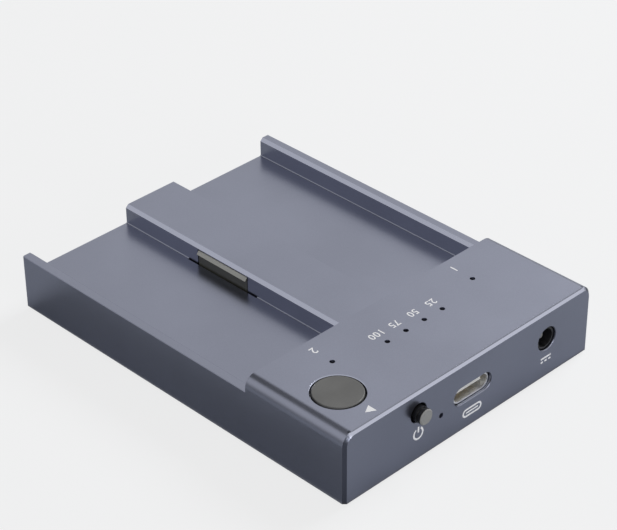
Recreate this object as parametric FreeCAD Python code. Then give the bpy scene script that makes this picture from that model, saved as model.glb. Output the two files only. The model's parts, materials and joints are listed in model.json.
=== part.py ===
# Two bay duplicator for bare solid state drive cards.
# A raised control block holds the ports, the buttons, the lamps and the two card connectors.
# Behind it lie two open bays with a hollow ridge between them, and a sprung latch looks into each bay.
import FreeCAD, Part
import math
import os

Vector = FreeCAD.Vector

# All sizes are in millimetres. The drawing frame has x to the right across the ports face,
# y from the ports face to the open end of the bays, and z up from the underside of the housing.

# Housing
length = 82.0
side_wall = 2.2
ridge_width = 12.7
bay_gap = 0.225
bay_depth = 3.9
floor_thick = 1.0
end_wall = 2.0
block_rear_wall = 2.0
roof_thick = 1.6
roof_gap = 0.4
ridge_skin = 1.6
edge_round = 2.35
face_chamfer = 0.55
rim_chamfer = 0.6
edge_break = 0.15
opening_break = 0.12
floor_fillet = 0.25
rim_wall = 1.0

# Base cover, its screws and the feet
cover_thick = 1.2
cover_gap = 0.1
cover_corner = 2.0
cover_screw_inset = 3.8
cover_screw_front = 3.0
cover_screw_rear = 3.4
cover_boss_reach = 1.6
cover_screw_radius = 0.8
cover_screw_head_radius = 1.5
cover_screw_reach = 3.6
recess_share = 0.6
recess_blade = 0.35
recess_depth = 0.5
foot_radius = 4.0
foot_sink = 0.5
foot_stand = 0.6
foot_rim = 0.25
foot_inset = 6.2
foot_front = 10.5
foot_rear = 10.5

# Main board and its screws
board_clear = 3.2
board_thick = 1.2
board_edge_gap = 0.4
floor_gap = 0.5
board_boss_radius = 1.9
board_screw_radius = 0.8
board_screw_head_radius = 1.45
board_screw_head = 0.9
board_screw_reach = 2.4
middle_boss_inset = 4.7
front_boss_x = 11.0
front_boss_y = 5.2
rear_boss_inset = 3.0

# Card connectors
module_width = 22.0
module_thick = 0.8
connector_depth = 7.9
connector_height = 4.35
connector_gap = 0.15
lamp_room = 3.15
connector_step = 1.6
slot_axis_height = 3.3
slot_cheek = 1.0
slot_depth = 4.2
slot_lead = 0.25
key_offset = 6.125
key_width = 1.1
contact_pitch = 0.5
contact_width = 0.25
contact_proud = 0.15
contact_length = 3.2

# USB socket
usb_width = 8.94
usb_height = 3.26
usb_skin = 0.3
usb_depth = 7.3
usb_recess = 0.55
usb_side_gap = 0.23
usb_top_gap = 0.12
tongue_width = 6.7
tongue_thick = 0.7
tongue_recess = 0.8
tongue_root = 1.5
usb_contact_count = 12
usb_contact_proud = 0.06
usb_leg_width = 1.1
usb_leg_spread = 3.2

# Power socket
dc_inset = 11.7
dc_axis_height = 2.4
dc_hole_radius = 2.3
dc_collar_radius = 2.15
dc_bore_radius = 1.8
dc_bore_depth = 9.0
dc_root = 0.7
dc_pin_radius = 0.65
dc_pin_recess = 0.9
dc_body_width = 5.8
dc_body_height = 4.8
dc_body_depth = 10.0
dc_recess = 0.4
dc_contact_thick = 0.2
dc_contact_width = 1.2
dc_contact_inset = 2.15
dc_lead_spread = 4.0

# Power button and its switch
power_inset = 17.5
power_axis_height = 3.9
power_hole_radius = 1.85
power_radius = 1.525
power_out = 1.8
power_travel = 1.5
power_rim = 0.2
power_groove = 0.4
power_groove_depth = 0.2
power_flange_radius = 2.2
power_flange = 1.2
power_tail_radius = 0.9
power_tail = 2.6
power_body_width = 7.0
power_body_height = 6.3
power_body_wall = 1.1
power_back_wall = 0.55
power_end_room = 2.15
power_wire = 0.3
power_spring_turns = 3.5
slide_gap = 0.1

# Start button and its switch
start_inset = 8.05
start_y = 9.4
start_hole_radius = 4.75
start_gap = 0.3
start_proud = 0.1
start_chamfer = 0.12
start_lip = 0.4
start_flange = 0.9
start_stem_radius = 1.6
start_travel = 0.4
switch_side = 6.0
switch_height = 3.5
switch_plate = 0.3
dome_rest = 0.22
actuator_radius = 1.7
actuator_rise = 0.9
actuator_flange = 0.4
dome_radius = 2.15
dome_thick = 0.12
lead_width = 0.7
lead_thick = 0.3
lead_reach = 1.1
power_lead_pitch = 2.4

# Lamps and the light guides over them
lamp_length = 1.6
lamp_breadth = 0.8
lamp_height = 0.6
lamp_row_pitch = 4.6
lamp_row_inset = 9.8
lamp_hole_radius = 0.5
guide_radius = 0.45
power_guide_radius = 0.34
guide_gap = 0.1
guide_recess = 0.5
guide_bar = 1.0
guide_bar_breadth = 1.6
bay_lamp_inset = 7.25
bay_lamp_foot_gap = 1.95
guide_bar_end = 0.55
power_lamp_gap = 5.6
power_lamp_height = 0.35

# Latches, their springs and their guide
latch_length = 12.9
latch_y = 55.25
latch_gap = 0.2
latch_lip = 0.5
latch_lip_edge = 0.07
latch_roof = 0.75
latch_thick = 2.1
latch_foot_extra = 2.5
latch_foot = 0.9
slit_width = 0.3
module_gap = 0.05
guide_floor = 1.4
guide_rail = 0.8
guide_end = 1.3
guide_wall = 1.4
guide_ear = 4.4
guide_ear_width = 5.0
guide_screw_radius = 0.8
spring_strip = 0.15
spring_height = 2.0
spring_margin = 1.2

# Chips and small parts on the board
chip_side = 10.0
chip_thick = 0.9
chip_edge = 0.18
bridge_side = 7.0
bridge_thick = 0.85
chip_inset = 10.1
inductor_side = 4.0
inductor_thick = 2.0
inductor_inset = 0.75
inductor_gap = 2.0
inductor_corner = 0.5
crystal_length = 3.2
crystal_breadth = 2.5
crystal_thick = 0.7
crystal_offset = 8.2
capacitor_length = 2.0
capacitor_breadth = 1.25
capacitor_thick = 1.1
capacitor_inset = 0.15
capacitor_count = 5
capacitor_pitch = 2.5

# Small clearance between pieces that seat on each other
seat_gap = 0.03
screw_gap = 0.05

# Levels and places that follow from the sizes above
width = 2 * (side_wall + module_width + 2 * bay_gap) + ridge_width
half = width / 2
block_depth = end_wall + slide_gap + dc_body_depth + lamp_room + connector_depth + connector_gap
board_under = cover_thick + board_clear
board_top = board_under + board_thick
floor_under = board_top + floor_gap
floor_top = floor_under + floor_thick
wall_top = floor_top + bay_depth
roof_under = board_top + power_body_height + roof_gap
case_height = roof_under + roof_thick
bay_inner = ridge_width / 2
bay_outer = half - side_wall
bay_centre = (bay_inner + bay_outer) / 2
cover_screw_x = half - cover_screw_inset
foot_x = half - foot_inset
start_x = -(half - start_inset)
dc_x = half - dc_inset
dc_z = board_top + dc_axis_height
usb_z = board_top + usb_height / 2
power_x = -(half - power_inset)
power_lamp_x = power_x + power_lamp_gap
power_body_depth = (power_body_wall + slide_gap + power_flange + power_tail + power_travel + power_end_room
                    + power_back_wall)
switch_floor = (switch_height - 2 * switch_plate - slide_gap - actuator_flange - 2 * seat_gap - dome_thick
                - start_travel - dome_rest)
power_z = board_top + power_axis_height
slot_z = board_top + slot_axis_height
slot_height = module_thick + 2 * contact_proud
slot_width = module_width - 2 * slot_cheek
connector_rear = block_depth - connector_gap
middle_boss_y = block_depth - middle_boss_inset
lamp_row_y = block_depth - lamp_row_inset
bay_lamp_y = block_depth - bay_lamp_inset
bay_lamp_foot_y = connector_rear - connector_depth - bay_lamp_foot_gap
latch_head_top = wall_top - latch_roof - latch_gap
latch_lip_under = slot_z + module_thick / 2 + module_gap
latch_back = bay_inner - latch_thick
latch_foot_length = latch_length + 2 * latch_foot_extra
latch_foot_top = floor_under - slide_gap
latch_foot_under = latch_foot_top - latch_foot
latch_foot_face = bay_inner + slit_width - slide_gap
guide_top = latch_foot_under - screw_gap
guide_half_run = latch_foot_length / 2 + slide_gap
guide_boss_y = guide_half_run + guide_end + guide_ear / 2
board_end = latch_y - guide_half_run - guide_end - guide_ear - board_edge_gap
chip_y = board_end - chip_inset
inductor_y = connector_rear - connector_depth + inductor_inset
capacitor_y = connector_rear - capacitor_inset
rear_boss_y = board_end - rear_boss_inset
cover_screw_places = [(side * cover_screw_x, y) for y in (cover_screw_front, length - cover_screw_rear)
                      for side in (-1, 1)]
board_screw_places = [(front_boss_x, front_boss_y), (0, middle_boss_y), (0, rear_boss_y)]
guide_screw_places = [(0, latch_y - guide_boss_y), (0, latch_y + guide_boss_y)]
lamp_row_places = [(lamp_row_pitch * step, lamp_row_y) for step in (-1.5, -0.5, 0.5, 1.5)]

# The origin lies under the middle of the whole part, on the surface that it stands on.
to_part_frame = Vector(0, -(length - power_out) / 2, foot_stand)


def box(x, y, z):
    """A block between a low and a high value on each axis."""
    size = Vector(x[1] - x[0], y[1] - y[0], z[1] - z[0])
    return Part.makeBox(size.x, size.y, size.z, Vector(x[0], y[0], z[0]))


def centred(x, y, z, across, along):
    """A block centred on x and y, with its height given as a low and a high value."""
    return box((x - across / 2, x + across / 2), (y - along / 2, y + along / 2), z)


def upright(x, y, radius, z):
    """A round column between two heights."""
    return Part.makeCylinder(radius, z[1] - z[0], Vector(x, y, z[0]))


def level(x, z, radius, y):
    """A round bar that runs from front to rear."""
    return Part.makeCylinder(radius, y[1] - y[0], Vector(x, y[0], z), Vector(0, 1, 0))


def stadium(x, z, across, high, y):
    """A flat sided bar with full round ends that runs from front to rear."""
    straight = (across - high) / 2
    shape = box((x - straight, x + straight), y, (z - high / 2, z + high / 2))
    for side in (-1, 1):
        shape = shape.fuse(level(x + side * straight, z, high / 2, y))
    return shape.removeSplitter()


def outline(points, y):
    """A profile drawn in x and z, drawn out from front to rear."""
    corners = [Vector(x, y[0], z) for x, z in points]
    return Part.Face(Part.makePolygon(corners + corners[:1])).extrude(Vector(0, y[1] - y[0], 0))


def turned_up(points, x, y):
    """A profile of radius and height, turned about an upright axis."""
    corners = [Vector(x + radius, y, z) for radius, z in points]
    face = Part.Face(Part.makePolygon(corners + corners[:1]))
    return face.revolve(Vector(x, y, 0), Vector(0, 0, 1), 360)


def turned_along(points, x, z):
    """A profile of radius and y, turned about an axis that runs from front to rear."""
    corners = [Vector(x + radius, y, z) for radius, y in points]
    face = Part.Face(Part.makePolygon(corners + corners[:1]))
    return face.revolve(Vector(x, 0, z), Vector(0, 1, 0), 360)


def mirrored(shape):
    """The same piece for the other bay."""
    return shape.mirror(Vector(0, 0, 0), Vector(1, 0, 0))


def near(value, wanted):
    return abs(value - wanted) < 1e-6


def edges_where(shape, test):
    """The edges whose middle and ends all pass a test."""
    found = []
    for edge in shape.Edges:
        points = [edge.valueAt(edge.FirstParameter + share * (edge.LastParameter - edge.FirstParameter))
                  for share in (0, 0.5, 1)]
        if all(test(point) for point in points):
            found.append(edge)
    return found


def save(name, *solids):
    """Writes one node, moved into the part's own frame."""
    shape = solids[0] if len(solids) == 1 else Part.makeCompound(list(solids))
    shape = shape.copy()
    shape.translate(to_part_frame)
    shape.exportStep("parts/" + name + ".step")


def control_block():
    """The raised block: long top edges rounded, the outline of the ports face chamfered."""
    block = box((-half, half), (0, block_depth), (0, case_height))
    block = block.makeFillet(edge_round, edges_where(
        block, lambda p: near(abs(p.x), half) and near(p.z, case_height)))
    underside = edges_where(block, lambda p: near(p.z, 0))
    face_edges = [edge for edge in edges_where(block, lambda p: near(p.y, 0))
                  if not any(edge.isSame(other) for other in underside)]
    block = block.makeChamfer(face_chamfer, face_edges)
    return block.makeChamfer(edge_break, edges_where(
        block, lambda p: near(p.y, block_depth) and p.z > case_height - edge_round - edge_break))


def tray():
    """Side walls, bay floors and ridge as one profile along the bays."""
    right = [
        (0, wall_top),
        (bay_inner - rim_chamfer, wall_top),
        (bay_inner, wall_top - rim_chamfer),
        (bay_inner, floor_top),
        (bay_outer, floor_top),
        (bay_outer, wall_top - rim_chamfer),
        (bay_outer + rim_chamfer, wall_top),
        (half - edge_break, wall_top),
        (half, wall_top - edge_break),
        (half, 0),
    ]
    left = [(-x, z) for x, z in reversed(right[1:])]
    shape = outline(left + right, (block_depth - block_rear_wall, length))
    return shape.makeFillet(floor_fillet, edges_where(
        shape, lambda p: near(p.z, floor_top) and (near(abs(p.x), bay_inner) or near(abs(p.x), bay_outer))))


def housing():
    """The aluminium housing, hollow from below."""
    body = control_block().fuse(tray()).removeSplitter()

    inner = half - side_wall
    hollow = box((-inner, inner), (end_wall, block_depth - block_rear_wall), (-1, roof_under))
    hollow = hollow.fuse(box((-inner, inner), (end_wall, length - end_wall), (-1, floor_under)))
    ridge_inner = bay_inner - ridge_skin
    hollow = hollow.fuse(box((-ridge_inner, ridge_inner), (block_depth + ridge_skin, length - end_wall),
                             (0, wall_top - ridge_skin)))
    seat_edge = half - rim_wall
    cover_seat = box((-seat_edge, seat_edge), (rim_wall, length - rim_wall), (-1, cover_thick))
    cover_seat = cover_seat.makeFillet(cover_corner, edges_where(
        cover_seat, lambda p: near(abs(p.x), seat_edge)
        and (near(p.y, rim_wall) or near(p.y, length - rim_wall))))

    # Bosses stand inside the hollow, so they are taken out of what is cut away.
    for x, y in cover_screw_places:
        hollow = hollow.cut(corner_boss(x, y))
    for x, y in board_screw_places:
        hollow = hollow.cut(upright(x, y, board_boss_radius, (board_top, case_height)))
    for x, y in guide_screw_places:
        hollow = hollow.cut(upright(x, y, board_boss_radius, (guide_top, case_height)))
    body = body.cut(hollow).cut(cover_seat)

    for x, y in cover_screw_places:
        body = body.cut(upright(x, y, cover_screw_radius + screw_gap,
                                (0, cover_thick + cover_screw_reach + 2 * screw_gap)))
    for x, y in board_screw_places:
        body = body.cut(upright(x, y, board_screw_radius + screw_gap,
                                (0, board_top + board_screw_reach + 2 * screw_gap)))
    for x, y in guide_screw_places:
        body = body.cut(upright(x, y, guide_screw_radius + screw_gap,
                                (0, guide_top + board_screw_reach + 2 * screw_gap)))

    # Openings for the card connectors in the rear wall of the block
    opening = module_width / 2 + connector_gap
    for side in (-1, 1):
        body = body.cut(box((side * bay_centre - opening, side * bay_centre + opening),
                            (block_depth - block_rear_wall - 1, block_depth),
                            (floor_under, board_top + connector_height + connector_gap)))

    # Openings for the sockets and the buttons, with broken rims
    through = (-1, end_wall + 1)
    above = (roof_under - 1, case_height + 1)
    body = body.cut(stadium(0, usb_z, usb_width + 2 * usb_side_gap, usb_height + 2 * usb_top_gap, through))
    body = body.cut(level(dc_x, dc_z, dc_hole_radius, through))
    body = body.cut(level(power_x, power_z, power_hole_radius, through))
    body = body.cut(upright(start_x, start_y, start_hole_radius, above))
    body = body.makeChamfer(opening_break, edges_where(
        body, lambda p: near(p.y, 0) and board_under < p.z < roof_under
        or near(p.z, case_height) and near(math.hypot(p.x - start_x, p.y - start_y), start_hole_radius)))

    # Openings for the light guides
    body = body.cut(level(power_lamp_x, board_top + power_lamp_height, lamp_hole_radius, through))
    for x, y in lamp_row_places + [(-bay_centre, bay_lamp_y), (bay_centre, bay_lamp_y)]:
        body = body.cut(upright(x, y, lamp_hole_radius, above))

    # Window for the two latches, and the slits beside their feet
    window = latch_length + 2 * latch_gap
    body = body.cut(centred(0, latch_y, (floor_under - 1, latch_head_top + latch_gap), ridge_width, window))
    for side in (-1, 1):
        slit_x = side * (bay_inner + slit_width / 2)
        body = body.cut(centred(slit_x, latch_y, (floor_under - 1, floor_top + 1), slit_width,
                                latch_foot_length + 2 * latch_gap))
    return body


def corner_boss(x, y):
    """The square post in a corner of the hollow that takes a cover screw."""
    inward = x - math.copysign(cover_boss_reach, x)
    middle = length / 2
    along = y + math.copysign(cover_boss_reach, middle - y)
    wall_end = 0 if y < middle else length
    return box(tuple(sorted((inward, math.copysign(half, x)))), tuple(sorted((along, wall_end))),
               (cover_thick, case_height))


def base_cover():
    """The flat cover that closes the underside, with pockets for the feet and countersinks."""
    edge = half - rim_wall - cover_gap
    front = rim_wall + cover_gap
    plate = box((-edge, edge), (front, length - front), (0, cover_thick))
    plate = plate.makeFillet(cover_corner, edges_where(
        plate, lambda p: near(abs(p.x), edge) and (near(p.y, front) or near(p.y, length - front))))
    for x, y in cover_screw_places:
        plate = plate.cut(countersunk(x, y, screw_gap))
    for x, y in foot_places():
        plate = plate.cut(upright(x, y, foot_radius + seat_gap, (0, foot_sink)))
    return plate


def countersunk(x, y, gap):
    """A countersunk screw from below; with a gap it is the hole for one."""
    head = cover_screw_head_radius + gap
    shank = cover_screw_radius + gap
    cone = head - shank
    top = cover_thick + cover_screw_reach
    return turned_up([(0, 0), (head, 0), (shank, cone), (shank, top), (0, top)], x, y)


def cross_recess(x, y, z, head_radius):
    """The cross cut into a screw head, open downwards at z."""
    across = 2 * recess_share * head_radius
    height = (z - seat_gap, z + recess_depth)
    return centred(x, y, height, across, recess_blade).fuse(centred(x, y, height, recess_blade, across))


def cover_screws():
    screws = []
    for x, y in cover_screw_places:
        screws.append(countersunk(x, y, 0).cut(cross_recess(x, y, 0, cover_screw_head_radius)))
    return screws


def pan_screw(x, y, seat, radius, reach):
    """A small pan head screw driven upwards, its head under the seat."""
    under = seat - board_screw_head
    screw = turned_up([
        (0, under), (board_screw_head_radius, under), (board_screw_head_radius, seat),
        (radius, seat), (radius, seat + reach), (0, seat + reach)], x, y)
    return screw.cut(cross_recess(x, y, under, board_screw_head_radius))


def foot_places():
    return [(side * foot_x, y) for y in (foot_front, length - foot_rear) for side in (-1, 1)]


def foot(x, y):
    """A rubber disc set into its pocket, its lower rim broken."""
    return turned_up([
        (0, -foot_stand), (foot_radius - foot_rim, -foot_stand), (foot_radius, foot_rim - foot_stand),
        (foot_radius, foot_sink), (0, foot_sink)], x, y)


def main_board():
    """The circuit board under the roof of the block and the front of the bays."""
    edge = half - side_wall - board_edge_gap
    board = box((-edge, edge), (end_wall + board_edge_gap, board_end), (board_under, board_top))
    for x, y in cover_screw_places[:2]:
        reach = cover_boss_reach + board_edge_gap
        inward = x - math.copysign(reach, x)
        board = board.cut(box(tuple(sorted((inward, math.copysign(half, x)))), (0, y + reach),
                              (0, case_height)))
    for x, y in board_screw_places:
        board = board.cut(upright(x, y, board_screw_radius + 2 * screw_gap, (0, case_height)))
    return board


def board_screws():
    reach = board_thick + board_screw_reach
    return [pan_screw(x, y, board_under, board_screw_radius, reach) for x, y in board_screw_places]


def connector(middle):
    """A card edge connector: long low body, slot towards the bay, a key rib across the slot."""
    across = module_width / 2
    front = connector_rear - connector_depth
    top = board_top + connector_height
    body = box((middle - across, middle + across), (front, connector_rear), (board_top, top))
    body = body.cut(box((middle - across, middle + across), (front, front + connector_step),
                        (top - connector_step, top)))
    mouth = connector_rear - slot_depth
    slot = box((middle - slot_width / 2, middle + slot_width / 2), (mouth, connector_rear),
               (slot_z - slot_height / 2, slot_z + slot_height / 2))
    lead = slot_height / 2 + slot_lead
    corners = [
        Vector(middle - slot_width / 2, connector_rear - slot_lead, slot_z - slot_height / 2),
        Vector(middle - slot_width / 2, connector_rear, slot_z - lead),
        Vector(middle - slot_width / 2, connector_rear, slot_z + lead),
        Vector(middle - slot_width / 2, connector_rear - slot_lead, slot_z + slot_height / 2)]
    flare = Part.Face(Part.makePolygon(corners + corners[:1])).extrude(Vector(slot_width, 0, 0))
    slot = slot.fuse(flare)
    slot = slot.cut(box((middle + key_offset - key_width / 2, middle + key_offset + key_width / 2),
                        (mouth, connector_rear - 2 * slot_lead), (board_top, top)))
    return body.cut(slot)


def contacts(middle):
    """Two facing rows of contact tips in the slot, with the key's place left free."""
    root = connector_rear - slot_depth
    count = int((slot_width - contact_pitch) / contact_pitch)
    tips = []
    for row, step in (((slot_z - slot_height / 2, slot_z - module_thick / 2), 0.25),
                      ((slot_z + module_thick / 2, slot_z + slot_height / 2), -0.25)):
        for place in range(count):
            offset = (place - (count - 1) / 2 + step) * contact_pitch
            clear = abs(offset - key_offset) - contact_width / 2 - key_width / 2
            if clear > contact_width and abs(offset) + contact_width < slot_width / 2:
                tips.append(centred(middle + offset, root + contact_length / 2, row,
                                    contact_width, contact_length))
    return tips


def usb_shell():
    """The steel shell of the socket, open at its mouth, closed at its back, on four folded legs."""
    back = usb_recess + usb_depth
    shell = stadium(0, usb_z, usb_width, usb_height, (usb_recess, back))
    half_leg = usb_leg_width / 2
    for side in (-1, 1):
        leg = sorted((side * usb_width / 2, side * (usb_width / 2 - usb_skin)))
        for y in (back - usb_leg_width - usb_leg_spread, back - usb_leg_width):
            shell = shell.fuse(box(leg, (y - half_leg, y + half_leg), (board_top, usb_z)))
    return shell.cut(stadium(0, usb_z, usb_width - 2 * usb_skin, usb_height - 2 * usb_skin,
                             (usb_recess - 1, back - usb_skin)))


def usb_tongue():
    """The tongue and the block at its root that fills the back of the shell."""
    back = usb_recess + usb_depth - usb_skin - seat_gap
    inner = 2 * usb_skin + 2 * seat_gap
    root = stadium(0, usb_z, usb_width - inner, usb_height - inner, (back - tongue_root, back))
    tip = usb_recess + tongue_recess
    tongue = box((-tongue_width / 2, tongue_width / 2), (tip, back - tongue_root / 2),
                 (usb_z - tongue_thick / 2, usb_z + tongue_thick / 2))
    tongue = tongue.makeFillet(tongue_thick / 4, edges_where(
        tongue, lambda p: near(p.y, tip) and near(abs(p.z - usb_z), tongue_thick / 2)))
    return root.fuse(tongue).removeSplitter()


def usb_contacts():
    """Flat strips on both faces of the tongue."""
    start = usb_recess + tongue_recess + 2 * contact_width
    end = usb_recess + usb_depth - usb_skin - seat_gap - tongue_root
    strips = []
    for side in (-1, 1):
        face = usb_z + side * tongue_thick / 2
        height = tuple(sorted((face, face + side * usb_contact_proud)))
        for place in range(usb_contact_count):
            x = (place - (usb_contact_count - 1) / 2) * contact_pitch
            strips.append(box((x - contact_width / 2, x + contact_width / 2), (start, end), height))
    return strips


def dc_jack_body():
    """The moulded socket: collar in the hole of the ports face, body on the board, long bore."""
    front = end_wall + slide_gap
    body = box((dc_x - dc_body_width / 2, dc_x + dc_body_width / 2), (front, front + dc_body_depth),
               (board_top, board_top + dc_body_height))
    body = body.fuse(level(dc_x, dc_z, dc_collar_radius, (dc_recess, front + 1)))
    body = body.cut(level(dc_x, dc_z, dc_bore_radius, (0, dc_recess + dc_bore_depth)))
    return body.cut(dc_root_bar()).cut(dc_channel())


def dc_root_bar():
    """The square root of the centre pin, which fills its hole in the back wall of the socket."""
    floor = dc_recess + dc_bore_depth
    return box((dc_x - dc_root / 2, dc_x + dc_root / 2), (floor, end_wall + slide_gap + dc_body_depth),
               (dc_z - dc_root / 2, dc_z + dc_root / 2))


def dc_channel():
    """The groove under the bore that holds the side contact."""
    low = dc_z - dc_bore_radius - dc_contact_thick
    start = dc_recess + dc_contact_inset
    return box((dc_x - dc_contact_width / 2, dc_x + dc_contact_width / 2),
               (start, dc_recess + dc_bore_depth), (low, dc_z))


def dc_jack_pin():
    """The centre pin with its broken tip and its square root."""
    tip = dc_recess + dc_pin_recess
    floor = dc_recess + dc_bore_depth
    break_size = dc_pin_radius / 3
    pin = turned_along([(0, tip), (dc_pin_radius - break_size, tip), (dc_pin_radius, tip + break_size),
                        (dc_pin_radius, floor), (0, floor)], dc_x, dc_z)
    return pin.fuse(dc_root_bar())


def dc_jack_contact():
    """The spring strip under the bore that touches the plug's sleeve."""
    low = dc_z - dc_bore_radius - dc_contact_thick + seat_gap
    across = dc_contact_width / 2 - seat_gap
    return box((dc_x - across, dc_x + across),
               (dc_recess + dc_contact_inset + seat_gap, dc_recess + dc_bore_depth - seat_gap),
               (low, low + dc_contact_thick))


def power_switch_body():
    """The switch housing behind the ports face, bored for the plunger and its spring."""
    front = end_wall + 3 * slide_gap
    back = front + power_body_depth
    body = box((power_x - power_body_width / 2, power_x + power_body_width / 2), (front, back),
               (board_top, board_top + power_body_height))
    body = body.cut(level(power_x, power_z, power_radius + slide_gap, (0, front + power_body_wall)))
    return body.cut(level(power_x, power_z, power_flange_radius + slide_gap,
                          (front + power_body_wall, back - power_back_wall)))


def power_plunger():
    """The round plunger: outer end with its groove, flange that keeps it in, tail for the spring."""
    flange = end_wall + 3 * slide_gap + power_body_wall + slide_gap
    groove = -power_out / 2
    waist = power_radius - power_groove_depth
    tail = flange + power_flange
    return turned_along([
        (0, -power_out), (power_radius - power_rim, -power_out), (power_radius, power_rim - power_out),
        (power_radius, groove - power_groove / 2), (waist, groove - power_groove / 2),
        (waist, groove + power_groove / 2), (power_radius, groove + power_groove / 2),
        (power_radius, flange), (power_flange_radius, flange), (power_flange_radius, tail),
        (power_tail_radius, tail), (power_tail_radius, tail + power_tail), (0, tail + power_tail)],
        power_x, power_z)


def power_spring():
    """The coil that pushes the plunger back out."""
    front = end_wall + 4 * slide_gap + power_body_wall + power_flange
    back = end_wall + 3 * slide_gap + power_body_depth - power_back_wall
    radius = power_tail_radius + slide_gap + power_wire
    rise = back - front - power_wire - 2 * seat_gap
    helix = Part.makeHelix(rise / power_spring_turns, rise, radius)
    corners = [Vector(radius + power_wire / 2 * math.cos(turn), 0, power_wire / 2 * math.sin(turn))
               for turn in (math.pi / 2 * step for step in range(5))]
    coil = Part.Wire(helix).makePipeShell([Part.makePolygon(corners)], True, True)
    coil.rotate(Vector(0, 0, 0), Vector(1, 0, 0), -90)
    coil.translate(Vector(power_x, front + power_wire / 2 + seat_gap, power_z))
    return coil


def start_cap():
    """The round cap, its flange under the roof and the stem that presses the switch."""
    top = case_height + start_proud
    radius = start_hole_radius - start_gap
    flange_top = roof_under - slide_gap
    flange_under = flange_top - start_flange
    stem_end = board_top + switch_height + actuator_rise
    flange_radius = start_hole_radius + start_lip
    return turned_up([
        (0, top), (radius - start_chamfer, top), (radius, top - start_chamfer), (radius, flange_top),
        (flange_radius, flange_top), (flange_radius, flange_under), (start_stem_radius, flange_under),
        (start_stem_radius, stem_end), (0, stem_end)], start_x, start_y)


def start_actuator():
    """The small round post in the switch, kept in by its flange."""
    top = board_top + switch_height + actuator_rise
    hole_under = board_top + switch_height - 2 * switch_plate
    flange = actuator_radius + actuator_flange
    return turned_up([
        (0, top), (actuator_radius, top), (actuator_radius, hole_under - slide_gap),
        (flange, hole_under - slide_gap), (flange, hole_under - slide_gap - actuator_flange),
        (0, hole_under - slide_gap - actuator_flange)], start_x, start_y)


def start_switch_body():
    """The moulded base of the switch, with a round well for the dome and the post."""
    top = board_top + switch_height - switch_plate
    body = centred(start_x, start_y, (board_top, top), switch_side, switch_side)
    hole_under = board_top + switch_height - 2 * switch_plate
    body = body.cut(upright(start_x, start_y, actuator_radius + slide_gap, (board_top + switch_floor, top)))
    return body.cut(upright(start_x, start_y, actuator_radius + actuator_flange + slide_gap,
                            (board_top + switch_floor, hole_under)))


def start_switch_cover():
    """The thin plate over the switch."""
    top = board_top + switch_height
    plate = centred(start_x, start_y, (top - switch_plate, top), switch_side, switch_side)
    return plate.cut(upright(start_x, start_y, actuator_radius + slide_gap, (board_top, top)))


def start_dome():
    """The domed spring disc between the floor of the well and the post."""
    low = board_top + switch_floor + seat_gap
    post = board_top + switch_height - 2 * switch_plate - slide_gap - actuator_flange
    rise = post - seat_gap - low - dome_thick
    bend = (dome_radius ** 2 + rise ** 2) / (2 * rise)
    middle = Vector(start_x, start_y, low + rise - bend)
    outer = Part.makeSphere(bend + dome_thick, middle)
    shell = outer.cut(Part.makeSphere(bend, middle))
    return shell.common(upright(start_x, start_y, dome_radius, (low, post)))


def flat_leads(x, across, places):
    """Flat leads that lie on the board at both sides of a body."""
    leads = []
    for side in (-1, 1):
        inner = x + side * across / 2
        outer = inner + side * lead_reach
        for y in places:
            leads.append(box(sorted((inner, outer)), (y - lead_width / 2, y + lead_width / 2),
                             (board_top, board_top + lead_thick)))
    return leads


def start_switch_leads():
    return flat_leads(start_x, switch_side, (start_y - switch_side / 3, start_y + switch_side / 3))


def power_switch_leads():
    middle = end_wall + 3 * slide_gap + power_body_depth / 2
    return flat_leads(power_x, power_body_width, [middle + step * power_lead_pitch for step in (-1, 0, 1)])


def dc_jack_leads():
    middle = end_wall + slide_gap + dc_body_depth / 2
    return flat_leads(dc_x, dc_body_width, (middle - dc_lead_spread / 2, middle + dc_lead_spread / 2))


def lamp(x, y):
    return centred(x, y, (board_top, board_top + lamp_height), lamp_length, lamp_breadth)


def progress_light_guide():
    """Four light rods joined by a bar that hangs under the roof."""
    low = board_top + lamp_height + guide_gap
    bar_top = roof_under - seat_gap
    reach = 1.5 * lamp_row_pitch + guide_bar_breadth / 2
    guide = box((-reach, reach), (lamp_row_y - guide_bar_breadth / 2, lamp_row_y + guide_bar_breadth / 2),
                (bar_top - guide_bar, bar_top))
    for x, y in lamp_row_places:
        guide = guide.fuse(centred(x, y, (low, bar_top - guide_bar), 2 * guide_radius, 2 * guide_radius))
        guide = guide.fuse(upright(x, y, guide_radius, (bar_top, case_height - guide_recess)))
    return guide.removeSplitter()


def bay_light_pipe(side):
    """A cranked rod from the lamp in front of the connector to the hole over the bay's middle."""
    x = side * bay_centre
    low = board_top + lamp_height + guide_gap
    bar_top = roof_under - seat_gap
    half_bar = guide_bar_breadth / 2
    pipe = box((x - half_bar, x + half_bar), (bay_lamp_foot_y - guide_radius, bay_lamp_y + guide_bar_end),
               (bar_top - guide_bar, bar_top))
    pipe = pipe.fuse(centred(x, bay_lamp_foot_y, (low, bar_top - guide_bar), 2 * guide_radius,
                             2 * guide_radius))
    pipe = pipe.fuse(upright(x, bay_lamp_y, guide_radius, (bar_top, case_height - guide_recess)))
    return pipe.removeSplitter()


def power_light_pipe():
    """The short rod in the hole beside the power button."""
    return level(power_lamp_x, board_top + power_lamp_height, power_guide_radius,
                 (guide_recess, end_wall + board_edge_gap + guide_gap))


def power_lamp():
    """The side facing lamp behind the rod in the ports face."""
    front = end_wall + board_edge_gap + 2 * guide_gap
    return box((power_lamp_x - lamp_length / 2, power_lamp_x + lamp_length / 2),
               (front, front + lamp_breadth), (board_top, board_top + lamp_height))


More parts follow.
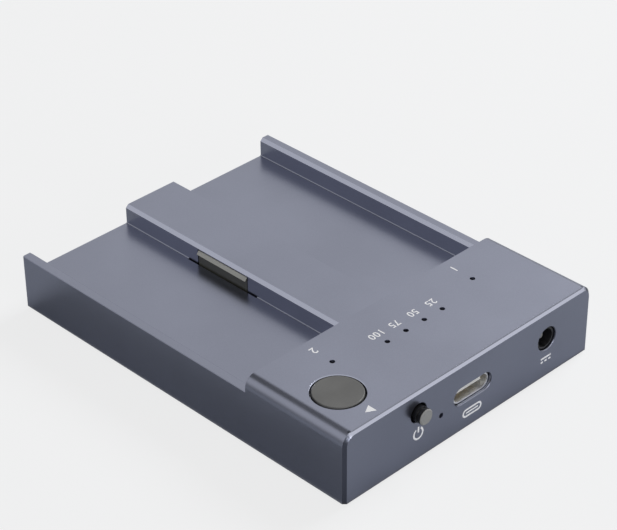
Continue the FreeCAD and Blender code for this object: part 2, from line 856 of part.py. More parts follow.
def latch():
    """The latch of the right hand bay: foot under the floor, head in the window, bevelled lip."""
    head = outline([
        (latch_back, latch_foot_under), (bay_inner, latch_foot_under), (bay_inner, latch_lip_under),
        (bay_inner + latch_lip, latch_lip_under), (bay_inner + latch_lip, latch_lip_under + latch_lip_edge),
        (bay_inner, latch_head_top), (latch_back, latch_head_top)],
        (latch_y - latch_length / 2, latch_y + latch_length / 2))
    foot_piece = box((latch_back, latch_foot_face),
                     (latch_y - latch_foot_length / 2, latch_y + latch_foot_length / 2),
                     (latch_foot_under, latch_foot_top))
    return head.fuse(foot_piece).removeSplitter()


def latch_spring():
    """The bowed strip between the back of the latch and the middle wall of the guide."""
    low = (latch_foot_top + latch_head_top) / 2 - spring_height / 2
    back = latch_back - seat_gap
    far = guide_wall / 2 + seat_gap
    half_span = latch_length / 2 - spring_margin

    def arc(offset):
        ends = back - spring_strip + offset
        peak = far + offset
        return Part.Arc(Vector(ends, latch_y - half_span, low), Vector(peak, latch_y, low),
                        Vector(ends, latch_y + half_span, low)).toShape()

    inner = arc(0)
    outer = arc(spring_strip)
    start = Part.LineSegment(inner.Vertexes[0].Point, outer.Vertexes[0].Point).toShape()
    end = Part.LineSegment(inner.Vertexes[-1].Point, outer.Vertexes[-1].Point).toShape()
    strip = Part.Face(Part.Wire(Part.__sortEdges__([inner, end, outer, start])))
    return strip.extrude(Vector(0, 0, spring_height))


def latch_guide():
    """The moulded guide under the ridge: floor, rails, end stops, middle wall and screw ears."""
    under = guide_top - guide_floor
    rail_inner = latch_foot_face + screw_gap
    rail_outer = rail_inner + guide_rail
    half_run = guide_half_run
    guide = centred(0, latch_y, (under, guide_top), 2 * rail_outer, 2 * (half_run + guide_end))
    for side in (-1, 1):
        guide = guide.fuse(centred(side * (rail_inner + guide_rail / 2), latch_y,
                                   (guide_top, floor_under - seat_gap), guide_rail,
                                   2 * (half_run + guide_end)))
        guide = guide.fuse(centred(0, latch_y + side * (half_run + guide_end / 2),
                                   (guide_top, floor_under - seat_gap), 2 * rail_outer, guide_end))
        guide = guide.fuse(centred(0, latch_y + side * (half_run + guide_end + guide_ear / 2),
                                   (under, guide_top - seat_gap), guide_ear_width, guide_ear))
    guide = guide.fuse(centred(0, latch_y, (guide_top, latch_head_top - latch_gap), guide_wall,
                               latch_length))
    for x, y in guide_screw_places:
        guide = guide.cut(upright(x, y, guide_screw_radius + 2 * screw_gap, (0, guide_top + 1)))
    return guide.removeSplitter()


def latch_guide_screws():
    under = guide_top - guide_floor
    reach = guide_floor + board_screw_reach
    return [pan_screw(x, y, under, guide_screw_radius, reach) for x, y in guide_screw_places]


def chip(x, y, side, thick):
    """A square chip under the board with its lower edges broken."""
    low = board_under - thick
    body = centred(x, y, (low, board_under), side, side)
    return body.makeChamfer(chip_edge, edges_where(body, lambda p: near(p.z, low)))


def thermal_pads():
    """Soft pads between the chips and the cover."""
    pads = []
    for x, side, thick in ((0, chip_side, chip_thick), (-bay_centre, bridge_side, bridge_thick),
                           (bay_centre, bridge_side, bridge_thick)):
        pads.append(centred(x, chip_y, (cover_thick, board_under - thick), side, side))
    return pads


def inductors():
    """Two square coils with cut corners, side by side behind the power socket."""
    coils = []
    for side in (-1, 1):
        x = dc_x + side * (inductor_side + inductor_gap) / 2
        body = centred(x, inductor_y, (board_under - inductor_thick, board_under), inductor_side,
                       inductor_side)
        coils.append(body.makeChamfer(inductor_corner, edges_where(
            body, lambda p: near(abs(p.x - x), inductor_side / 2)
            and near(abs(p.y - inductor_y), inductor_side / 2))))
    return coils


def capacitors():
    """A row of small blocks under the board."""
    row = [bay_centre + (place - (capacitor_count - 1) / 2) * capacitor_pitch
           for place in range(capacitor_count)]
    return [centred(x, capacitor_y, (board_under - capacitor_thick, board_under), capacitor_breadth,
                    capacitor_length) for x in row]


def clock_crystal():
    return centred(-crystal_offset, chip_y, (board_under - crystal_thick, board_under),
                   crystal_length, crystal_breadth)


def build():
    os.makedirs("parts", exist_ok=True)
    save("housing", housing())
    save("base_cover", base_cover())
    save("cover_screws", *cover_screws())
    names = ("foot_front_left", "foot_front_right", "foot_rear_left", "foot_rear_right")
    for name, (x, y) in zip(names, foot_places()):
        save(name, foot(x, y))

    save("main_board", main_board())
    save("board_screws", *board_screws())
    for bay, side in (("target", -1), ("source", 1)):
        save(bay + "_connector", connector(side * bay_centre))
        save(bay + "_contacts", *contacts(side * bay_centre))
        save(bay + "_light_pipe", bay_light_pipe(side))
        save(bay + "_lamp", lamp(side * bay_centre, bay_lamp_foot_y))
        save(bay + "_bridge_chip", chip(side * bay_centre, chip_y, bridge_side, bridge_thick))
    save("duplicator_chip", chip(0, chip_y, chip_side, chip_thick))
    save("thermal_pads", *thermal_pads())
    save("power_inductors", *inductors())
    save("capacitors", *capacitors())
    save("clock_crystal", clock_crystal())

    save("usb_shell", usb_shell())
    save("usb_tongue", usb_tongue())
    save("usb_contacts", *usb_contacts())
    save("dc_jack_body", dc_jack_body())
    save("dc_jack_pin", dc_jack_pin())
    save("dc_jack_contact", dc_jack_contact())
    save("dc_jack_leads", *dc_jack_leads())

    save("power_switch_body", power_switch_body())
    save("power_switch_leads", *power_switch_leads())
    save("power_button", power_plunger())
    save("power_spring", power_spring())
    save("start_cap", start_cap())
    save("start_actuator", start_actuator())
    save("start_switch_body", start_switch_body())
    save("start_switch_cover", start_switch_cover())
    save("start_dome", start_dome())
    save("start_switch_leads", *start_switch_leads())

    save("progress_light_guide", progress_light_guide())
    save("progress_lamps", *[lamp(x, y) for x, y in lamp_row_places])
    save("power_light_pipe", power_light_pipe())
    save("power_lamp", power_lamp())

    save("source_latch", latch())
    save("target_latch", mirrored(latch()))
    save("source_latch_spring", latch_spring())
    save("target_latch_spring", mirrored(latch_spring()))
    save("latch_guide", latch_guide())
    save("latch_guide_screws", *latch_guide_screws())


build()
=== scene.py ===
"""Looks, light and camera for the two bay drive duplicator, laid out as an add-on and run as a script."""
import json
import math

import bmesh
import bpy
from bpy.props import FloatProperty, FloatVectorProperty, IntProperty, PointerProperty, StringProperty
from mathutils import Matrix, Vector

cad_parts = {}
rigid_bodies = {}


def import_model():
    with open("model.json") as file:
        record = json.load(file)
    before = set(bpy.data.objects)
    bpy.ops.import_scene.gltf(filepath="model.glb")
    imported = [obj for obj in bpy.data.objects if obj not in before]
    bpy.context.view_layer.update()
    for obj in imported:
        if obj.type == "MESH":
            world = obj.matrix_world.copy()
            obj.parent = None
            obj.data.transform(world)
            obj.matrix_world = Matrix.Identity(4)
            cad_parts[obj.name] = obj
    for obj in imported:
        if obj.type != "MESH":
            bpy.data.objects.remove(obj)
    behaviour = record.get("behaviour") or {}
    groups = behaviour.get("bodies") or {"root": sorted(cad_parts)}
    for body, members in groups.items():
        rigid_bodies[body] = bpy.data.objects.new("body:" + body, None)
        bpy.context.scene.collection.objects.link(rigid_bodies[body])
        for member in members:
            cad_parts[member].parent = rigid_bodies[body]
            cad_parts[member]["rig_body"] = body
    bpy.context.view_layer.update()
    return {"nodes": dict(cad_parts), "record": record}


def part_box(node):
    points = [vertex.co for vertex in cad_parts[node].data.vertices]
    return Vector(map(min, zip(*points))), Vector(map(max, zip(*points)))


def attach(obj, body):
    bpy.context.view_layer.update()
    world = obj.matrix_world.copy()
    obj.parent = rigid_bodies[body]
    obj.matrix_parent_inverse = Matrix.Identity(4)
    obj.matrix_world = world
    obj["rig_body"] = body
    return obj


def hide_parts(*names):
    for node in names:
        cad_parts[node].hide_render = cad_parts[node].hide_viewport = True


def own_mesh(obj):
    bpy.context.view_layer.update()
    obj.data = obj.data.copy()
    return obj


bl_info = {
    "name": "Drive duplicator",
    "version": (1, 0, 0),
    "blender": (4, 5, 0),
    "location": "3D View > Sidebar > Duplicator",
    "description": "Finishes the parts of a two bay drive duplicator and sets its stage",
    "category": "Object",
}

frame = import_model()
housing_low, housing_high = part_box("housing")

mm = 0.001
ports_face = housing_low.y
block_top = housing_high.z
half_width = housing_high.x
latch_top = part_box("source_latch")[1].z
cap_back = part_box("start_cap")[1].y
lamp_half = 0.8 * mm  # half of the length of a lamp on the board
pipe_end = 0.55 * mm  # how far a bay's light pipe reaches behind the middle of its hole


def length(name, description, metres):
    """A length that the panel shows."""
    return FloatProperty(name=name, description=description, default=metres, unit="LENGTH")


def plain(name, description, value):
    """A number that the panel shows."""
    return FloatProperty(name=name, description=description, default=value)


def values(name, description, numbers):
    """Several numbers that the panel shows."""
    return FloatVectorProperty(name=name, description=description, size=len(numbers), default=numbers)


def tint(name, description, colour):
    """A colour that the panel shows."""
    return FloatVectorProperty(name=name, description=description, subtype="COLOR", size=3, default=colour)


def spot(name, description, point):
    """A place that the panel shows."""
    return FloatVectorProperty(name=name, description=description, subtype="TRANSLATION", size=3,
                               default=point)


class HousingLook(bpy.types.PropertyGroup):
    """The aluminium housing and its cover."""
    edge: length("Edge break", "Width of the broken sharp edges", 0.11 * mm)
    colour: tint("Anodised colour", "Colour of the blasted surface", (0.275, 0.29, 0.362))
    # Lighter colour of upward chamfers and broken edges: partly their bright machined finish, partly a
    # painted highlight.
    cut: tint("Cut colour", "Colour of the bright cut chamfers", (0.44, 0.46, 0.56))
    # Painted highlight: the chamfer over the ports face is drawn lighter still.
    front: tint("Front cut colour", "Colour of the chamfer over the ports face", (0.54, 0.56, 0.67))
    front_reach: length("Front reach", "How far back that chamfer's tone may reach", 1.0 * mm)
    # Painted shadow line under the roof's front edge.
    line: length("Edge line", "Height of the darker line under the roof's front edge", 0.15 * mm)
    # Painted shade, on that line and on the sideways chamfers round the ports face and its holes.
    corner: tint("Corner colour", "Colour of that line and of the dark corners", (0.03, 0.034, 0.05))
    corner_reach: length("Corner reach", "How far back the dark corners reach", 0.8 * mm)
    round: length("Round width", "How far in the long round edges reach", 2.4 * mm)
    turn: plain("Round share", "Share of that width where the front chamfer isn't bright", 0.6)
    outside: length("Wall edge", "Width without a bright cut along the walls' outer edges", 0.6 * mm)
    rim: length("Rim height", "From the latches' tops up to over the walls' rims", 1.2 * mm)
    behind: length("Matt distance", "Rear chamfers are matt from this far behind the start cap", 1.0 * mm)
    cover: tint("Cover colour", "Colour of the base cover", (0.10, 0.107, 0.13))


class FeetLook(bpy.types.PropertyGroup):
    """The rubber feet and the screws."""
    edge: length("Foot edge", "Width of the feet's broken edges", 0.08 * mm)
    screw_edge: length("Screw edge", "Width of the cover screws' broken edges", 0.04 * mm)
    rubber: tint("Rubber colour", "Colour of the feet", (0.022, 0.022, 0.024))
    oxide: tint("Oxide colour", "Colour of the cover screws", (0.05, 0.05, 0.055))
    zinc: tint("Zinc colour", "Colour of the screws inside", (0.58, 0.58, 0.55))


class ButtonLook(bpy.types.PropertyGroup):
    """The start cap, the power button, their switches and all springs."""
    edge: length("Edge break", "Width of the broken edges", 0.03 * mm)
    start: tint("Start cap colour", "Colour of the start cap", (0.114, 0.114, 0.111))
    # Painted light: the power button's side is drawn near black as painted shade and its face lighter as a
    # painted highlight.
    power: tint("Power button colour", "Colour of the power button's side", (0.009, 0.009, 0.010))
    face: tint("Power face colour", "Colour of the power button's face", (0.29, 0.29, 0.285))
    switch: tint("Switch colour", "Colour of the switches' mouldings", (0.03, 0.03, 0.032))
    plate: tint("Plate colour", "Colour of the switches' metal parts", (0.62, 0.61, 0.57))
    spring: tint("Spring colour", "Colour of the dome and the springs", (0.58, 0.58, 0.56))
    # Depth of the face that takes the painted highlight.
    inlay: length("Inlay depth", "How far back the power face's colour may reach", 0.3 * mm)


class SocketLook(bpy.types.PropertyGroup):
    """The sockets in the ports face and in the bays."""
    edge: length("Edge break", "Width of the broken edges", 0.03 * mm)
    steel: tint("Shell colour", "Colour of the plated shells", (0.90, 0.90, 0.895))
    # A nickel colour darkened as painted shade, so that the pin reads shaded in its hole.
    pin: tint("Pin colour", "Colour of the power socket's pin and leads", (0.45, 0.45, 0.4475))
    gold: tint("Contact colour", "Colour of the plated contacts", (0.85, 0.62, 0.28))
    moulding: tint("Moulding colour", "Colour of the socket mouldings", (0.012, 0.012, 0.014))
    # A grey moulding drawn near white to stand in for light inside the recessed socket: partly its own
    # colour, partly painted light.
    tongue: tint("Tongue colour", "Colour of the tongue in the USB socket", (0.80, 0.80, 0.78))


class LatchLook(bpy.types.PropertyGroup):
    """The latches in the ridge, with a painted highlight on their lips' upward slopes, and their guide."""
    edge: length("Edge break", "Width of the broken edges", 0.05 * mm)
    colour: tint("Latch colour", "Colour of the latch moulding", (0.085, 0.085, 0.072))
    guide: tint("Guide colour", "Colour of the latches' guide", (0.035, 0.035, 0.037))
    # Painted highlight colour for the lips' upward slopes.
    rubbed: tint("Lip colour", "Colour of the lip's slope", (0.57, 0.57, 0.53))


class MarkLook(bpy.types.PropertyGroup):
    """The plain printed marks."""
    height: length("Figure height", "Height of the printed numbers", 1.55 * mm)
    thickness: length("Print thickness", "How far the print stands proud", 0.012 * mm)
    line: length("Line width", "Width of the drawn lines", 0.36 * mm)
    bold: length("Figure weight", "How far the figures' strokes are thickened", 0.02 * mm)
    sign: length("Start sign size", "Side of the start sign", 1.75 * mm)
    start_back: length("Start sign place", "From the cap's middle to the sign", 7.0 * mm)
    row_back: length("Row numbers place", "From a progress lamp to its number", 2.7 * mm)
    bay_back: length("Bay numbers place", "From a bay lamp to its number", 4.4 * mm)
    face_drop: length("Face signs place", "From a socket's middle down to its sign", 4.25 * mm)
    row: StringProperty(name="Row numbers", description="Numbers at the progress lamps, in reading order",
                        default="25 50 75 100")
    colour: tint("Print colour", "Colour of the print", (0.95, 0.95, 0.97))


class BoardLook(bpy.types.PropertyGroup):
    """The circuit board, its chips and small parts."""
    mask: tint("Mask colour", "Colour of the board's solder mask", (0.012, 0.05, 0.028))
    epoxy: tint("Chip colour", "Colour of the chip mouldings", (0.022, 0.022, 0.025))
    silicone: tint("Thermal pad colour", "Colour of the thermal pads", (0.30, 0.36, 0.42))
    ferrite: tint("Ferrite colour", "Colour of the inductors", (0.07, 0.07, 0.07))
    ceramic: tint("Ceramic colour", "Colour of the capacitors", (0.40, 0.30, 0.19))
    can: tint("Crystal colour", "Colour of the clock crystal's can", (0.65, 0.64, 0.60))
    pads: tint("Pad colour", "Colour of the board's bare pads", (0.62, 0.60, 0.52))


class LampLook(bpy.types.PropertyGroup):
    """The lamps and their light pipes."""
    pipe: tint("Light pipe colour", "Colour of the light pipes", (0.005, 0.005, 0.006))
    resin: tint("Lamp colour", "Colour of the unlit lamps", (0.72, 0.68, 0.42))


class StageLook(bpy.types.PropertyGroup):
    """Floor, sky, lamps and camera."""
    floor_size: length("Floor size", "Side of the square floor", 8.0)
    floor: tint("Floor colour", "Colour of the floor", (0.53, 0.55, 0.58))
    sky: plain("Sky level", "Strength of the light from all round", 0.29)
    walls: plain("Wall level", "How bright the walls reflect", 0.81)
    gap: plain("Gap level", "How bright the gap in the ceiling reflects", 0.02)
    gap_across: values("Gap across", "Where the gap starts, is full, eases and ends",
                       (-0.46, -0.2, 0.27, 0.4))
    gap_along: values("Gap along", "The same from front to back", (0.4, 0.5, 0.68, 0.78))
    gap_up: values("Gap height", "Where the gap starts and is full, from below", (0.58, 0.7))
    skirting: plain("Skirting level", "How bright the foot of the walls reflects", 0.36)
    foot: values("Skirting height", "Where the skirting starts to fade and where it ends", (-0.05, 0.4))
    underside: length("Underside reach", "Floor nearer than this lets light through", 1.6 * mm)
    glow: plain("Floor glow", "Share of plain white in the floor that the camera sees", 0.78)
    key_power: plain("Key lamp", "Power of the main lamp", 3.9)
    key_size: length("Key lamp size", "Diameter of the main lamp", 0.40)
    key_place: spot("Key lamp place", "Where the main lamp hangs", (0.57, -0.03, 0.50))
    fill_power: plain("Fill lamp", "Power of the lamp before the ports face", 1.3)
    fill_size: length("Fill lamp size", "Diameter of the lamp before the ports face", 0.30)
    fill_place: spot("Fill lamp place", "Where the second lamp stands", (-0.14, -0.62, 0.17))
    aim_back: length("Aim depth", "From the ports face back to the aimed point", 41.004 * mm)
    aim_rise: length("Aim height", "Height of the aimed point", 6.8 * mm)
    distance: length("Camera distance", "From the aimed point to the lens", 393.6 * mm)
    azimuth: plain("Camera azimuth", "Turn round the object in degrees", -44.32)
    elevation: plain("Camera elevation", "Degrees above the horizon", 34.21)
    roll: plain("Camera roll", "Turn about the line of sight in degrees", -0.587)
    focal_pixels: plain("Focal length", "In pixels of the photograph", 2180.56)
    picture: IntProperty(name="Picture width", description="Pixels across the photograph", default=617)
    centre: values("Picture centre", "Pixels from the middle of the picture to the lens axis",
                   (5.95, 33.56))


class Value:
    """A node's output. Sums and products of values add the Math nodes that work them out."""

    def __init__(self, graph, socket):
        self.graph = graph
        self.socket = socket

    def maths(self, operation, *others):
        return self.graph.node("ShaderNodeMath", self, *others, settings={"operation": operation})

    def __add__(self, other):
        return self.maths("ADD", other)

    __radd__ = __add__

    def __mul__(self, other):
        return self.maths("MULTIPLY", other)

    __rmul__ = __mul__

    def __sub__(self, other):
        return self.maths("SUBTRACT", other)

    def __rsub__(self, other):
        return self.graph.node("ShaderNodeMath", other, self, settings={"operation": "SUBTRACT"})

    def __gt__(self, other):
        return self.maths("GREATER_THAN", other)

    def __lt__(self, other):
        return self.maths("LESS_THAN", other)

    def within(self, low, high):
        """How far the value is from low to high, as 0 to 1, with a soft start and end."""
        settings = {"interpolation_type": "SMOOTHSTEP"}
        return self.graph.node("ShaderNodeMapRange", self, low, high, 0.0, 1.0, settings=settings)

    def band(self, start, full, ease, end):
        """1 from full to ease and 0 before start and after end, with soft steps between them."""
        return self.within(start, full) * (1.0 - self.within(ease, end))


class Graph:
    """A node tree whose nodes are written as plain calls."""

    def __init__(self, tree, output):
        self.tree = tree
        tree.nodes.clear()
        self.output = tree.nodes.new(output)

    def put(self, socket, value):
        """Links a Value to an input, or sets the input to a plain number or colour."""
        if isinstance(value, Value):
            self.tree.links.new(value.socket, socket)
        elif socket.type == "RGBA":
            socket.default_value = (*value, 1.0)
        else:
            socket.default_value = value

    def node(self, kind, *inputs, out=0, settings=None, **named):
        """A new node's output. The inputs are given in order or by name, and None leaves one as it is."""
        made = self.tree.nodes.new(kind)
        for key, value in (settings or {}).items():
            setattr(made, key, value)
        for socket, value in zip(made.inputs, inputs):
            if value is not None:
                self.put(socket, value)
        for key, value in named.items():
            self.put(made.inputs[key.replace("_", " ")], value)
        return Value(self, made.outputs[out])

    def axis(self, which, vector):
        """One part of a vector, which is X, Y or Z."""
        return self.node("ShaderNodeSeparateXYZ", vector, out=which)

    def show(self, shader):
        self.tree.links.new(shader.socket, self.output.inputs["Surface"])


class Finish(Graph):
    """A material and the textures that the finishes share."""

    def __init__(self, name):
        self.material = bpy.data.materials.new(name)
        self.material.use_nodes = True
        super().__init__(self.material.node_tree, "ShaderNodeOutputMaterial")

    def place(self):
        """Object coordinates in metres."""
        return self.node("ShaderNodeTexCoord", out="Object")

    def facing(self):
        """The direction in which the flat face under the point looks."""
        return self.node("ShaderNodeNewGeometry", out="True Normal")

    def noise(self, scale, detail, roughness=0.5, at=None):
        return self.node("ShaderNodeTexNoise", Vector=at or self.place(), Scale=scale, Detail=detail,
                         Roughness=roughness)

    def cells(self, scale):
        return self.node("ShaderNodeTexVoronoi", Vector=self.place(), Scale=scale)

    def stretched(self, across, along, up):
        """Object coordinates scaled apart on each axis, for grain that runs one way."""
        return self.node("ShaderNodeMapping", Vector=self.place(), Scale=(across, along, up))

    def mix(self, share, first, second):
        """Colour that goes from first to second as share goes from 0 to 1."""
        others = [None] * 5  # the inputs of the node's other data types come before its colours
        settings = {"data_type": "RGBA"}
        return self.node("ShaderNodeMix", share, *others, first, second, out=2, settings=settings)

    def bump(self, height, distance, strength):
        return self.node("ShaderNodeBump", Height=height, Distance=distance, Strength=strength)

    def surface(self, colour, roughness, **others):
        self.show(self.node("ShaderNodeBsdfPrincipled", Base_Color=colour, Roughness=roughness, **others))
        return self.material


def shade(colour, factor):
    """A colour made lighter or darker."""
    return tuple(min(1.0, channel * factor) for channel in colour)


def cut_highlight_edges(finish, look):
    """Share of 1 on tilted chamfers and broken edges that take a lighter colour, partly a bright machined
    finish and partly a painted highlight, and of 0 on flat faces and on round, outermost and rear edges.
    """
    slope = 0.3  # how far a face has to look back or ahead to count as a rear or front one
    tilted = finish.axis("Z", finish.facing()).band(0.55, 0.65, 0.93, 0.97)
    back = finish.axis("Y", finish.facing())
    across = finish.axis("X", finish.place()).maths("ABSOLUTE")
    height = finish.axis("Z", finish.place())
    above = height > latch_top + look.rim
    corner = (across > half_width - look.round * look.turn) * above
    rounded = (across > half_width - look.round) * above
    beside = rounded.maths("MAXIMUM", across > half_width - look.outside) * (back.maths("ABSOLUTE") < slope)
    behind = (finish.axis("Y", finish.place()) > cap_back + look.behind) * (back > slope)
    rims = (height > latch_top) * (1.0 - behind)
    return tilted * rims * (1.0 - corner.maths("MAXIMUM", beside))


def over_ports(finish, look):
    """Share of 1 close behind the ports face, between the long round edges."""
    between = finish.axis("X", finish.place()).maths("ABSOLUTE") < half_width - look.round * look.turn
    return (finish.axis("Y", finish.place()) < ports_face + look.front_reach) * between


def painted_edge_shadow(finish, look):
    """Share of 1 on tilted faces right under the block's roof, where the painted shadow line goes."""
    high = finish.axis("Z", finish.place()) > block_top - look.line
    return finish.axis("Z", finish.facing()).band(0.6, 0.65, 0.985, 0.995) * high


def painted_corner_shade(finish, look):
    """Share of 1 on sideways chamfers of the ports face and its holes, which take painted shade."""
    beside = finish.axis("X", finish.facing()).maths("ABSOLUTE")
    ahead = finish.axis("Y", finish.facing())
    front = finish.axis("Y", finish.place()) < ports_face + look.corner_reach
    return beside.within(0.35, 0.45) * (ahead < -0.4) * (beside < 0.9) * front


def anodised(name, colour, roughness=0.29, grain=0.35, look=None):
    """Blasted and anodised aluminium with fine pits. A look given adds lighter chamfers, partly their bright
    machined finish and partly a painted highlight, and painted shade under the roof's front edge and on the
    ports face's sideways chamfers.
    """
    finish = Finish(name)
    drift = finish.noise(38.0, 3.0)
    pits = finish.noise(9000.0, 1.0)
    height = pits
    soil = finish.noise(260.0, 4.0, 0.55)
    tone = finish.mix(drift.within(0.25, 0.75), shade(colour, 0.95), shade(colour, 1.06))
    tone = finish.mix(pits.within(0.35, 0.8) * 0.16, tone, shade(colour, 1.5))
    rough = roughness + (soil - 0.5) * 0.03 + (pits - 0.5) * 0.04
    if look:
        # Upward chamfers and broken edges drawn lighter: partly a bright machined finish, partly a painted
        # highlight.
        cut = cut_highlight_edges(finish, look)
        front = over_ports(finish, look)
        # The chamfer over the ports face takes a lighter colour still, as a painted highlight.
        tone = finish.mix(cut, tone, finish.mix(front, look.cut, look.front))
        # Painted shadow line under the roof's front edge.
        tone = finish.mix(painted_edge_shadow(finish, look) * front * 0.6, tone, look.corner)
        # Painted shade on the sideways chamfers round the ports face and its holes.
        tone = finish.mix(painted_corner_shade(finish, look) * 0.75, tone, look.corner)
        rough = rough - cut * 0.03
        height = pits * (1.0 - cut)
    return finish.surface(tone, rough, Metallic=1.0, Normal=finish.bump(height, 0.002 * mm, grain))


def moulded(name, colour, roughness, grain=0.5, scale=3200.0):
    """Moulded plastic with a fine spark eroded texture."""
    finish = Finish(name)
    cells = finish.cells(scale)
    drift = finish.noise(140.0, 3.0)
    tone = finish.mix(drift.within(0.3, 0.7), shade(colour, 0.9), shade(colour, 1.12))
    rough = roughness + (drift - 0.5) * 0.12
    return finish.surface(tone, rough, Normal=finish.bump(cells, 0.02 * mm, grain))


def plated(name, colour, roughness, along):
    """Rolled and plated sheet metal: grain along one axis and a few dull patches."""
    finish = Finish(name)
    scales = {"X": (0.12, 1.0, 1.0), "Y": (1.0, 0.12, 1.0), "Z": (1.0, 1.0, 0.12)}[along]
    grain = finish.noise(2600.0, 3.0, 0.6, at=finish.stretched(*scales))
    patches = finish.noise(420.0, 2.0)
    tone = finish.mix(grain, shade(colour, 0.88), shade(colour, 1.06))
    rough = roughness + (patches - 0.5) * 0.18 + (grain - 0.5) * 0.08
    return finish.surface(tone, rough, Metallic=1.0, Normal=finish.bump(grain, 0.004 * mm, 0.5))


def painted_lit_face(name, side, face, front):
    """Smooth moulding drawn as lit and shaded copies of one plastic: the face, which is what looks ahead
    before the depth given, takes a lighter colour as painted light, and the rest a darker one as painted
    shade.
    """
    finish = Finish(name)
    speck = finish.noise(2400.0, 3.0)
    ahead = finish.axis("Y", finish.facing()) < -0.7
    lit_face = (finish.axis("Y", finish.place()) < front) * ahead
    tone = finish.mix(lit_face, side, face)
    tone = finish.mix(speck.within(0.3, 0.8) * 0.1, tone, shade(side, 1.6))
    return finish.surface(tone, 0.32 + (speck - 0.5) * 0.12, Specular_IOR_Level=0.3,
                          Normal=finish.bump(speck, 0.01 * mm, 0.4))


def rubbed(name, colour, bright):
    """Olive black moulding with a painted highlight on its upward slopes."""
    finish = Finish(name)
    cells = finish.cells(4200.0)
    streaks = finish.noise(900.0, 3.0, 0.6, at=finish.stretched(1.0, 0.1, 1.0))
    slope = finish.axis("Z", finish.facing()).within(0.3, 0.5)
    tone = finish.mix(streaks.within(0.3, 0.7), shade(colour, 0.85), shade(colour, 1.15))
    # Painted highlight: upward slopes are drawn lighter.
    tone = finish.mix(slope * (0.8 + streaks * 0.3), tone, bright)
    return finish.surface(tone, 0.36 + (streaks - 0.5) * 0.14 - slope * 0.1,
                          Normal=finish.bump(cells, 0.02 * mm, 0.25))


def rubber(name, colour):
    """Slightly dusty rubber or silicone."""
    finish = Finish(name)
    dust = finish.noise(900.0, 4.0, 0.65)
    tone = finish.mix(dust.within(0.5, 0.85), colour, shade(colour, 2.1))
    return finish.surface(tone, 0.78 + (dust - 0.5) * 0.15, Normal=finish.bump(dust, 0.03 * mm, 0.6))


def solder_mask(name, colour, bare):
    """Green board: copper tracks show as lighter lines under the mask, with bare pads here and there."""
    finish = Finish(name)
    x, y = finish.axis("X", finish.place()), finish.axis("Y", finish.place())
    drift = finish.noise(60.0, 1.0)
    lanes = ((x * 1500.0 + drift * 9.0).maths("SINE") > 0.55) * (finish.noise(110.0, 0.0) > 0.47)
    rungs = ((y * 1300.0 + drift * 7.0).maths("SINE") > 0.6) * (finish.noise(150.0, 0.0) < 0.45)
    tracks = (lanes + rungs).maths("MINIMUM", 1.0)
    pads = finish.cells(700.0) < 0.11
    tone = finish.mix(tracks, colour, shade(colour, 1.9))
    tone = finish.mix(pads, tone, bare)
    return finish.surface(tone, 0.32 + pads * 0.1, Metallic=pads, Coat_Weight=0.3,
                          Normal=finish.bump(tracks, 0.02 * mm, 0.6))


def smoked(name, colour):
    """Smoked clear plastic of the light pipes, kept opaque so that the holes read dark."""
    finish = Finish(name)
    cloud = finish.noise(800.0, 2.0)
    tone = finish.mix(cloud, shade(colour, 0.8), shade(colour, 1.2))
    return finish.surface(tone, 0.4 + cloud * 0.1, Specular_IOR_Level=0.1)


def printed(name, colour):
    """Screen printed ink, slightly uneven in tone and gloss."""
    finish = Finish(name)
    speckle = finish.noise(4200.0, 3.0, 0.6)
    tone = finish.mix(speckle.within(0.3, 0.75), shade(colour, 0.93), colour)
    return finish.surface(tone, 0.5 + (speckle - 0.5) * 0.2, Normal=finish.bump(speckle, 0.006 * mm, 0.4))


def die(name, colour):
    """Matt chip moulding, ferrite or ceramic with a faint swirl."""
    finish = Finish(name)
    swirl = finish.noise(520.0, 5.0, 0.65)
    tone = finish.mix(swirl, shade(colour, 0.8), shade(colour, 1.5))
    return finish.surface(tone, 0.5 + (swirl - 0.5) * 0.25, Normal=finish.bump(swirl, 0.01 * mm, 0.5))


def give(piece, material):
    """The piece takes this material on all its faces."""
    piece.data.materials.clear()
    piece.data.materials.append(material)


def paint(material, *nodes):
    """Gives a material to CAD nodes that are shown as they are."""
    for node in nodes:
        give(frame["nodes"][node], material)


def body_of(node):
    return frame["nodes"][node]["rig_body"]


def settle(piece, body):
    """Lets a piece ride on a body."""
    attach(piece, body)


def joined(node):
    """A CAD node's triangles as one closed mesh with flat faces in one piece."""
    work = bmesh.new()
    work.from_mesh(frame["nodes"][node].data)
    bmesh.ops.remove_doubles(work, verts=work.verts, dist=0.002 * mm)
    bmesh.ops.dissolve_limit(work, angle_limit=math.radians(0.4), verts=work.verts, edges=work.edges)
    return work


def piece_from(work, name):
    """An object at the origin from a bmesh, smooth shaded."""
    for face in work.faces:
        face.smooth = True
    mesh = bpy.data.meshes.new(name)
    work.to_mesh(mesh)
    work.free()
    piece = bpy.data.objects.new(name, mesh)
    bpy.context.scene.collection.objects.link(piece)
    return piece


def broken_edges(piece, width):
    """Breaks the sharp edges and keeps the flat faces flat in the shading."""
    bevel = piece.modifiers.new("edges", "BEVEL")
    bevel.width = width
    bevel.segments = 2
    bevel.limit_method = "ANGLE"
    bevel.angle_limit = math.radians(32)
    bevel.use_clamp_overlap = True
    normals = piece.modifiers.new("normals", "WEIGHTED_NORMAL")
    normals.mode = "FACE_AREA"
    normals.weight = 80


def finished(node, material, width=0.0):
    """A copy of a CAD node with joined faces and, where a width is given, broken edges."""
    piece = piece_from(joined(node), node + "_finished")
    give(piece, material)
    if width:
        broken_edges(piece, width)
    settle(piece, body_of(node))
    return piece


def stand_in(node, width, material):
    """Shows a copy with broken edges in a CAD node's place."""
    piece = finished(node, material, width)
    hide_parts(node)


